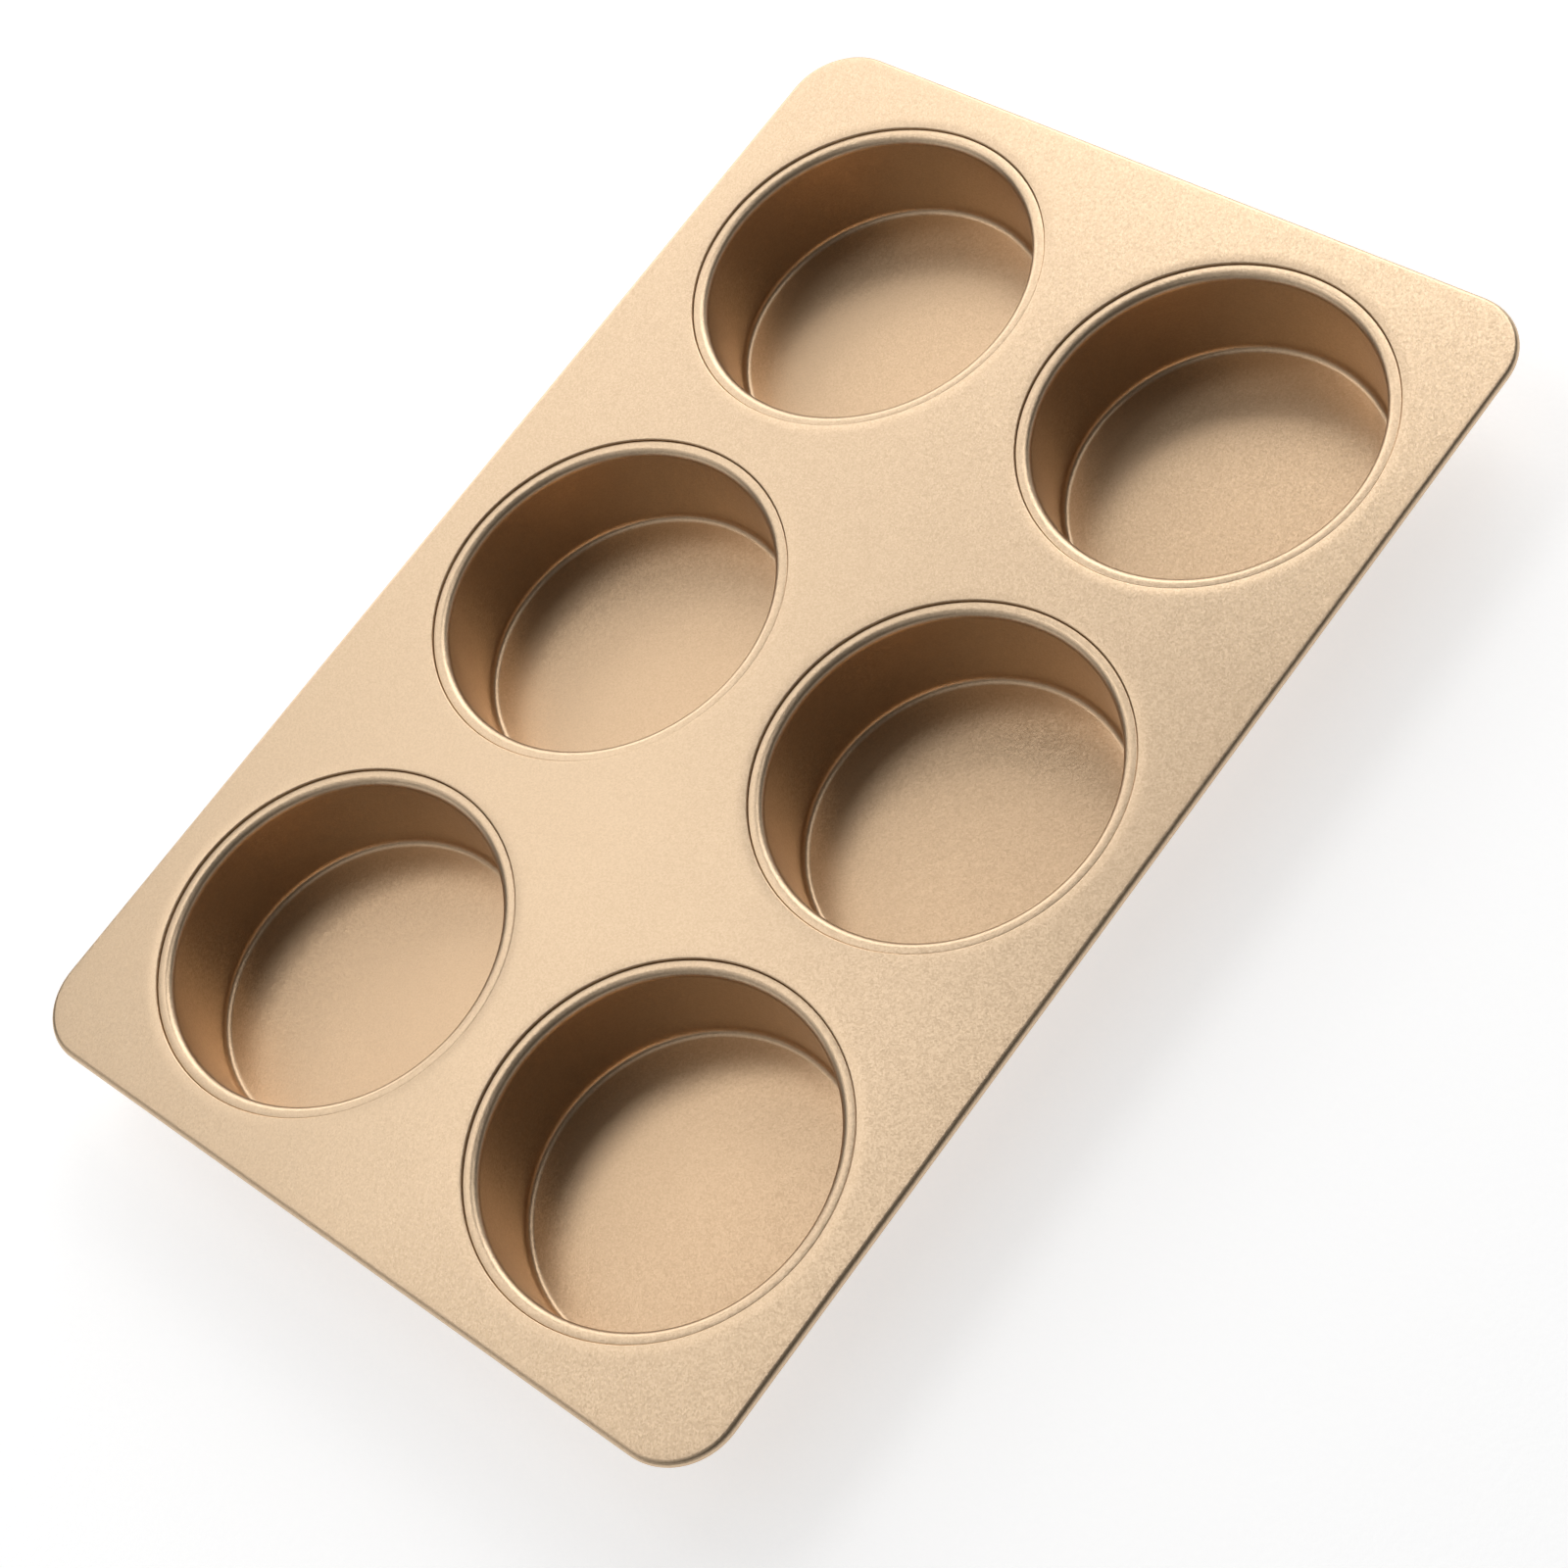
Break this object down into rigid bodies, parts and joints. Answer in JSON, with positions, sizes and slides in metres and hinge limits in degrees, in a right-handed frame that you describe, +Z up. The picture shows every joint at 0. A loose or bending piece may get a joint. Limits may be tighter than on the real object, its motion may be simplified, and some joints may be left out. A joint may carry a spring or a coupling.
{
  "type": "hamburger bun pan",
  "caption": "Baking pan with round straight-sided cups locked into a flat deck sheet with a wired rolled edge, for baking flat round buns.",
  "frame": {"origin": "centre of the plane that the cups' flat undersides rest on", "axes": "+Z up out of the cups, +X along the long side of the deck, +Y along its short side"},
  "size_m": [0.393, 0.262, 0.034],
  "materials": {
    "nonstick_coating": "champagne-coloured satin nonstick coating with a fine metallic fleck, on steel sheet",
    "wire_steel": "plain drawn steel wire, hidden in the rolled edge"
  },
  "bodies": {
    "root": {"deck_tray": "nonstick_coating", "rim_wire": "wire_steel", "cup_1": "nonstick_coating", "cup_2": "nonstick_coating", "cup_3": "nonstick_coating", "cup_4": "nonstick_coating", "cup_5": "nonstick_coating", "cup_6": "nonstick_coating"}
  },
  "joints": []
}
